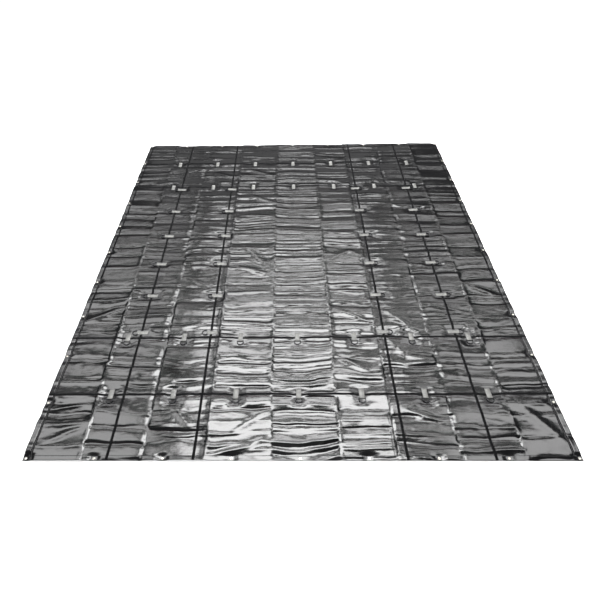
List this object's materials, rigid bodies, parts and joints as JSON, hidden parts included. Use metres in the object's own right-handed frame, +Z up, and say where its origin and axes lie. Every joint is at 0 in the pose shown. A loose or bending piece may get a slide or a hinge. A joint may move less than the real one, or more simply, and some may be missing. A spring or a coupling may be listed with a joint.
{
  "type": "vinyl machinery tarpaulin",
  "caption": "Large black vinyl-coated tarpaulin lying flat, with a grommeted hem and rows of webbing straps that carry loose D-rings for tie-downs.",
  "frame": {"origin": "the middle of the sheet's underside, on the ground", "axes": "+Z up, +Y along the length towards the far end, +X to the right across the width"},
  "size_m": [4.8768, 6.096, 0.0121],
  "materials": {
    "vinyl": "gloss",
    "webbing": "matte",
    "tab_webbing": "satin",
    "ring_steel": "satin",
    "grommet_metal": "polished"
  },
  "bodies": {
    "sheet": {"panel_left": "vinyl", "panel_centre": "vinyl", "panel_right": "vinyl", "hem": "vinyl", "straps_lengthwise": "webbing", "straps_crosswise": "webbing", "ring_tabs": "tab_webbing", "grommets": "grommet_metal"},
    "ring_near_outer_1": {"ring_near_outer_1": "ring_steel"},
    "ring_near_outer_2": {"ring_near_outer_2": "ring_steel"},
    "ring_near_outer_3": {"ring_near_outer_3": "ring_steel"},
    "ring_near_outer_4": {"ring_near_outer_4": "ring_steel"},
    "ring_near_outer_5": {"ring_near_outer_5": "ring_steel"},
    "ring_near_outer_6": {"ring_near_outer_6": "ring_steel"},
    "ring_near_outer_7": {"ring_near_outer_7": "ring_steel"},
    "ring_near_inner_1": {"ring_near_inner_1": "ring_steel"},
    "ring_near_inner_2": {"ring_near_inner_2": "ring_steel"},
    "ring_near_inner_3": {"ring_near_inner_3": "ring_steel"},
    "ring_near_inner_4": {"ring_near_inner_4": "ring_steel"},
    "ring_near_inner_5": {"ring_near_inner_5": "ring_steel"},
    "ring_near_inner_6": {"ring_near_inner_6": "ring_steel"},
    "ring_near_inner_7": {"ring_near_inner_7": "ring_steel"},
    "ring_far_inner_1": {"ring_far_inner_1": "ring_steel"},
    "ring_far_inner_2": {"ring_far_inner_2": "ring_steel"},
    "ring_far_inner_3": {"ring_far_inner_3": "ring_steel"},
    "ring_far_inner_4": {"ring_far_inner_4": "ring_steel"},
    "ring_far_inner_5": {"ring_far_inner_5": "ring_steel"},
    "ring_far_inner_6": {"ring_far_inner_6": "ring_steel"},
    "ring_far_inner_7": {"ring_far_inner_7": "ring_steel"},
    "ring_far_outer_1": {"ring_far_outer_1": "ring_steel"},
    "ring_far_outer_2": {"ring_far_outer_2": "ring_steel"},
    "ring_far_outer_3": {"ring_far_outer_3": "ring_steel"},
    "ring_far_outer_4": {"ring_far_outer_4": "ring_steel"},
    "ring_far_outer_5": {"ring_far_outer_5": "ring_steel"},
    "ring_far_outer_6": {"ring_far_outer_6": "ring_steel"},
    "ring_far_outer_7": {"ring_far_outer_7": "ring_steel"},
    "ring_left_outer_1": {"ring_left_outer_1": "ring_steel"},
    "ring_left_outer_2": {"ring_left_outer_2": "ring_steel"},
    "ring_left_outer_3": {"ring_left_outer_3": "ring_steel"},
    "ring_left_outer_4": {"ring_left_outer_4": "ring_steel"},
    "ring_left_outer_5": {"ring_left_outer_5": "ring_steel"},
    "ring_left_outer_6": {"ring_left_outer_6": "ring_steel"},
    "ring_left_inner_1": {"ring_left_inner_1": "ring_steel"},
    "ring_left_inner_2": {"ring_left_inner_2": "ring_steel"},
    "ring_left_inner_3": {"ring_left_inner_3": "ring_steel"},
    "ring_left_inner_4": {"ring_left_inner_4": "ring_steel"},
    "ring_left_inner_5": {"ring_left_inner_5": "ring_steel"},
    "ring_left_inner_6": {"ring_left_inner_6": "ring_steel"},
    "ring_right_inner_1": {"ring_right_inner_1": "ring_steel"},
    "ring_right_inner_2": {"ring_right_inner_2": "ring_steel"},
    "ring_right_inner_3": {"ring_right_inner_3": "ring_steel"},
    "ring_right_inner_4": {"ring_right_inner_4": "ring_steel"},
    "ring_right_inner_5": {"ring_right_inner_5": "ring_steel"},
    "ring_right_inner_6": {"ring_right_inner_6": "ring_steel"},
    "ring_right_outer_1": {"ring_right_outer_1": "ring_steel"},
    "ring_right_outer_2": {"ring_right_outer_2": "ring_steel"},
    "ring_right_outer_3": {"ring_right_outer_3": "ring_steel"},
    "ring_right_outer_4": {"ring_right_outer_4": "ring_steel"},
    "ring_right_outer_5": {"ring_right_outer_5": "ring_steel"},
    "ring_right_outer_6": {"ring_right_outer_6": "ring_steel"}
  },
  "joints": [
    {"name": "ring_near_outer_1_hinge", "type": "hinge", "parent": "sheet", "child": "ring_near_outer_1", "pos_m": [-1.8288, -2.36858, 0.00637], "axis": [-1, 0, 0], "range_deg": [0, 173]},
    {"name": "ring_near_outer_2_hinge", "type": "hinge", "parent": "sheet", "child": "ring_near_outer_2", "pos_m": [-1.2192, -2.36858, 0.00637], "axis": [-1, 0, 0], "range_deg": [0, 173]},
    {"name": "ring_near_outer_3_hinge", "type": "hinge", "parent": "sheet", "child": "ring_near_outer_3", "pos_m": [-0.6096, -2.36858, 0.00637], "axis": [-1, 0, 0], "range_deg": [0, 173]},
    {"name": "ring_near_outer_4_hinge", "type": "hinge", "parent": "sheet", "child": "ring_near_outer_4", "pos_m": [0, -2.36858, 0.00637], "axis": [-1, 0, 0], "range_deg": [0, 173]},
    {"name": "ring_near_outer_5_hinge", "type": "hinge", "parent": "sheet", "child": "ring_near_outer_5", "pos_m": [0.6096, -2.36858, 0.00637], "axis": [-1, 0, 0], "range_deg": [0, 173]},
    {"name": "ring_near_outer_6_hinge", "type": "hinge", "parent": "sheet", "child": "ring_near_outer_6", "pos_m": [1.2192, -2.36858, 0.00637], "axis": [-1, 0, 0], "range_deg": [0, 173]},
    {"name": "ring_near_outer_7_hinge", "type": "hinge", "parent": "sheet", "child": "ring_near_outer_7", "pos_m": [1.8288, -2.36858, 0.00637], "axis": [-1, 0, 0], "range_deg": [0, 173]},
    {"name": "ring_near_inner_1_hinge", "type": "hinge", "parent": "sheet", "child": "ring_near_inner_1", "pos_m": [-1.8288, -1.60048, 0.00637], "axis": [-1, 0, 0], "range_deg": [0, 173]},
    {"name": "ring_near_inner_2_hinge", "type": "hinge", "parent": "sheet", "child": "ring_near_inner_2", "pos_m": [-1.2192, -1.60048, 0.00637], "axis": [-1, 0, 0], "range_deg": [0, 173]},
    {"name": "ring_near_inner_3_hinge", "type": "hinge", "parent": "sheet", "child": "ring_near_inner_3", "pos_m": [-0.6096, -1.60048, 0.00637], "axis": [-1, 0, 0], "range_deg": [0, 173]},
    {"name": "ring_near_inner_4_hinge", "type": "hinge", "parent": "sheet", "child": "ring_near_inner_4", "pos_m": [0, -1.60048, 0.00637], "axis": [-1, 0, 0], "range_deg": [0, 173]},
    {"name": "ring_near_inner_5_hinge", "type": "hinge", "parent": "sheet", "child": "ring_near_inner_5", "pos_m": [0.6096, -1.60048, 0.00637], "axis": [-1, 0, 0], "range_deg": [0, 173]},
    {"name": "ring_near_inner_6_hinge", "type": "hinge", "parent": "sheet", "child": "ring_near_inner_6", "pos_m": [1.2192, -1.60048, 0.00637], "axis": [-1, 0, 0], "range_deg": [0, 173]},
    {"name": "ring_near_inner_7_hinge", "type": "hinge", "parent": "sheet", "child": "ring_near_inner_7", "pos_m": [1.8288, -1.60048, 0.00637], "axis": [-1, 0, 0], "range_deg": [0, 173]},
    {"name": "ring_far_inner_1_hinge", "type": "hinge", "parent": "sheet", "child": "ring_far_inner_1", "pos_m": [-1.8288, 1.69192, 0.00637], "axis": [1, 0, 0], "range_deg": [0, 173]},
    {"name": "ring_far_inner_2_hinge", "type": "hinge", "parent": "sheet", "child": "ring_far_inner_2", "pos_m": [-1.2192, 1.69192, 0.00637], "axis": [1, 0, 0], "range_deg": [0, 173]},
    {"name": "ring_far_inner_3_hinge", "type": "hinge", "parent": "sheet", "child": "ring_far_inner_3", "pos_m": [-0.6096, 1.69192, 0.00637], "axis": [1, 0, 0], "range_deg": [0, 173]},
    {"name": "ring_far_inner_4_hinge", "type": "hinge", "parent": "sheet", "child": "ring_far_inner_4", "pos_m": [0, 1.69192, 0.00637], "axis": [1, 0, 0], "range_deg": [0, 173]},
    {"name": "ring_far_inner_5_hinge", "type": "hinge", "parent": "sheet", "child": "ring_far_inner_5", "pos_m": [0.6096, 1.69192, 0.00637], "axis": [1, 0, 0], "range_deg": [0, 173]},
    {"name": "ring_far_inner_6_hinge", "type": "hinge", "parent": "sheet", "child": "ring_far_inner_6", "pos_m": [1.2192, 1.69192, 0.00637], "axis": [1, 0, 0], "range_deg": [0, 173]},
    {"name": "ring_far_inner_7_hinge", "type": "hinge", "parent": "sheet", "child": "ring_far_inner_7", "pos_m": [1.8288, 1.69192, 0.00637], "axis": [1, 0, 0], "range_deg": [0, 173]},
    {"name": "ring_far_outer_1_hinge", "type": "hinge", "parent": "sheet", "child": "ring_far_outer_1", "pos_m": [-1.8288, 2.42344, 0.00637], "axis": [1, 0, 0], "range_deg": [0, 173]},
    {"name": "ring_far_outer_2_hinge", "type": "hinge", "parent": "sheet", "child": "ring_far_outer_2", "pos_m": [-1.2192, 2.42344, 0.00637], "axis": [1, 0, 0], "range_deg": [0, 173]},
    {"name": "ring_far_outer_3_hinge", "type": "hinge", "parent": "sheet", "child": "ring_far_outer_3", "pos_m": [-0.6096, 2.42344, 0.00637], "axis": [1, 0, 0], "range_deg": [0, 173]},
    {"name": "ring_far_outer_4_hinge", "type": "hinge", "parent": "sheet", "child": "ring_far_outer_4", "pos_m": [0, 2.42344, 0.00637], "axis": [1, 0, 0], "range_deg": [0, 173]},
    {"name": "ring_far_outer_5_hinge", "type": "hinge", "parent": "sheet", "child": "ring_far_outer_5", "pos_m": [0.6096, 2.42344, 0.00637], "axis": [1, 0, 0], "range_deg": [0, 173]},
    {"name": "ring_far_outer_6_hinge", "type": "hinge", "parent": "sheet", "child": "ring_far_outer_6", "pos_m": [1.2192, 2.42344, 0.00637], "axis": [1, 0, 0], "range_deg": [0, 173]},
    {"name": "ring_far_outer_7_hinge", "type": "hinge", "parent": "sheet", "child": "ring_far_outer_7", "pos_m": [1.8288, 2.42344, 0.00637], "axis": [1, 0, 0], "range_deg": [0, 173]},
    {"name": "ring_left_outer_1_hinge", "type": "hinge", "parent": "sheet", "child": "ring_left_outer_1", "pos_m": [-1.74374, 1.57582, 0.00637], "axis": [0, 1, 0], "range_deg": [0, 173]},
    {"name": "ring_left_outer_2_hinge", "type": "hinge", "parent": "sheet", "child": "ring_left_outer_2", "pos_m": [-1.74374, 0.96622, 0.00637], "axis": [0, 1, 0], "range_deg": [0, 173]},
    {"name": "ring_left_outer_3_hinge", "type": "hinge", "parent": "sheet", "child": "ring_left_outer_3", "pos_m": [-1.74374, 0.35662, 0.00637], "axis": [0, 1, 0], "range_deg": [0, 173]},
    {"name": "ring_left_outer_4_hinge", "type": "hinge", "parent": "sheet", "child": "ring_left_outer_4", "pos_m": [-1.74374, -0.25298, 0.00637], "axis": [0, 1, 0], "range_deg": [0, 173]},
    {"name": "ring_left_outer_5_hinge", "type": "hinge", "parent": "sheet", "child": "ring_left_outer_5", "pos_m": [-1.74374, -0.86258, 0.00637], "axis": [0, 1, 0], "range_deg": [0, 173]},
    {"name": "ring_left_outer_6_hinge", "type": "hinge", "parent": "sheet", "child": "ring_left_outer_6", "pos_m": [-1.74374, -1.47218, 0.00637], "axis": [0, 1, 0], "range_deg": [0, 173]},
    {"name": "ring_left_inner_1_hinge", "type": "hinge", "parent": "sheet", "child": "ring_left_inner_1", "pos_m": [-0.98174, 1.57582, 0.00637], "axis": [0, 1, 0], "range_deg": [0, 173]},
    {"name": "ring_left_inner_2_hinge", "type": "hinge", "parent": "sheet", "child": "ring_left_inner_2", "pos_m": [-0.98174, 0.96622, 0.00637], "axis": [0, 1, 0], "range_deg": [0, 173]},
    {"name": "ring_left_inner_3_hinge", "type": "hinge", "parent": "sheet", "child": "ring_left_inner_3", "pos_m": [-0.98174, 0.35662, 0.00637], "axis": [0, 1, 0], "range_deg": [0, 173]},
    {"name": "ring_left_inner_4_hinge", "type": "hinge", "parent": "sheet", "child": "ring_left_inner_4", "pos_m": [-0.98174, -0.25298, 0.00637], "axis": [0, 1, 0], "range_deg": [0, 173]},
    {"name": "ring_left_inner_5_hinge", "type": "hinge", "parent": "sheet", "child": "ring_left_inner_5", "pos_m": [-0.98174, -0.86258, 0.00637], "axis": [0, 1, 0], "range_deg": [0, 173]},
    {"name": "ring_left_inner_6_hinge", "type": "hinge", "parent": "sheet", "child": "ring_left_inner_6", "pos_m": [-0.98174, -1.47218, 0.00637], "axis": [0, 1, 0], "range_deg": [0, 173]},
    {"name": "ring_right_inner_1_hinge", "type": "hinge", "parent": "sheet", "child": "ring_right_inner_1", "pos_m": [0.98174, 1.57582, 0.00637], "axis": [0, -1, 0], "range_deg": [0, 173]},
    {"name": "ring_right_inner_2_hinge", "type": "hinge", "parent": "sheet", "child": "ring_right_inner_2", "pos_m": [0.98174, 0.96622, 0.00637], "axis": [0, -1, 0], "range_deg": [0, 173]},
    {"name": "ring_right_inner_3_hinge", "type": "hinge", "parent": "sheet", "child": "ring_right_inner_3", "pos_m": [0.98174, 0.35662, 0.00637], "axis": [0, -1, 0], "range_deg": [0, 173]},
    {"name": "ring_right_inner_4_hinge", "type": "hinge", "parent": "sheet", "child": "ring_right_inner_4", "pos_m": [0.98174, -0.25298, 0.00637], "axis": [0, -1, 0], "range_deg": [0, 173]},
    {"name": "ring_right_inner_5_hinge", "type": "hinge", "parent": "sheet", "child": "ring_right_inner_5", "pos_m": [0.98174, -0.86258, 0.00637], "axis": [0, -1, 0], "range_deg": [0, 173]},
    {"name": "ring_right_inner_6_hinge", "type": "hinge", "parent": "sheet", "child": "ring_right_inner_6", "pos_m": [0.98174, -1.47218, 0.00637], "axis": [0, -1, 0], "range_deg": [0, 173]},
    {"name": "ring_right_outer_1_hinge", "type": "hinge", "parent": "sheet", "child": "ring_right_outer_1", "pos_m": [1.74374, 1.57582, 0.00637], "axis": [0, -1, 0], "range_deg": [0, 173]},
    {"name": "ring_right_outer_2_hinge", "type": "hinge", "parent": "sheet", "child": "ring_right_outer_2", "pos_m": [1.74374, 0.96622, 0.00637], "axis": [0, -1, 0], "range_deg": [0, 173]},
    {"name": "ring_right_outer_3_hinge", "type": "hinge", "parent": "sheet", "child": "ring_right_outer_3", "pos_m": [1.74374, 0.35662, 0.00637], "axis": [0, -1, 0], "range_deg": [0, 173]},
    {"name": "ring_right_outer_4_hinge", "type": "hinge", "parent": "sheet", "child": "ring_right_outer_4", "pos_m": [1.74374, -0.25298, 0.00637], "axis": [0, -1, 0], "range_deg": [0, 173]},
    {"name": "ring_right_outer_5_hinge", "type": "hinge", "parent": "sheet", "child": "ring_right_outer_5", "pos_m": [1.74374, -0.86258, 0.00637], "axis": [0, -1, 0], "range_deg": [0, 173]},
    {"name": "ring_right_outer_6_hinge", "type": "hinge", "parent": "sheet", "child": "ring_right_outer_6", "pos_m": [1.74374, -1.47218, 0.00637], "axis": [0, -1, 0], "range_deg": [0, 173]}
  ]
}
